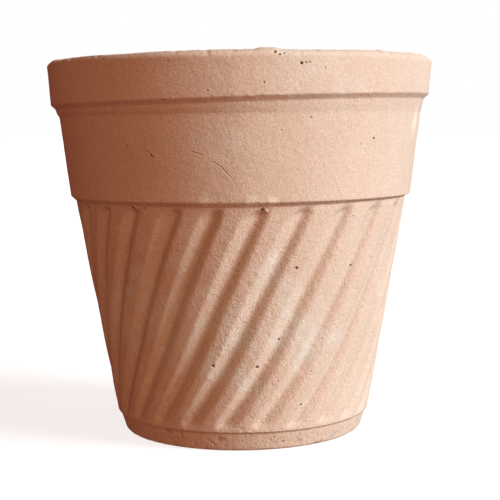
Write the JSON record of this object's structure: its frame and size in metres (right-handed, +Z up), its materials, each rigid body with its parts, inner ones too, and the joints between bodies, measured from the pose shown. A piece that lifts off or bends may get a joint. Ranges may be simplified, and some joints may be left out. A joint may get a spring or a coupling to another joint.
{
  "type": "terracotta flower pot",
  "caption": "Tapered clay plant pot with a heavy rolled lip, a plain collar, slanting pressed flutes on the body and a drain hole in its flat foot.",
  "frame": {"origin": "middle of the foot's flat underside, on the pot's axis", "axes": "+Z up along the pot's axis, out of its mouth; -Y is the side seen in the reference view; the flutes climb towards +X on that side"},
  "size_m": [0.1998, 0.1998, 0.193],
  "materials": {
    "terracotta": "unglazed fired clay, matt, orange-brown and mottled, with fine sand, small pits and pale mineral bloom"
  },
  "bodies": {
    "root": {"pot": "terracotta"}
  },
  "joints": []
}
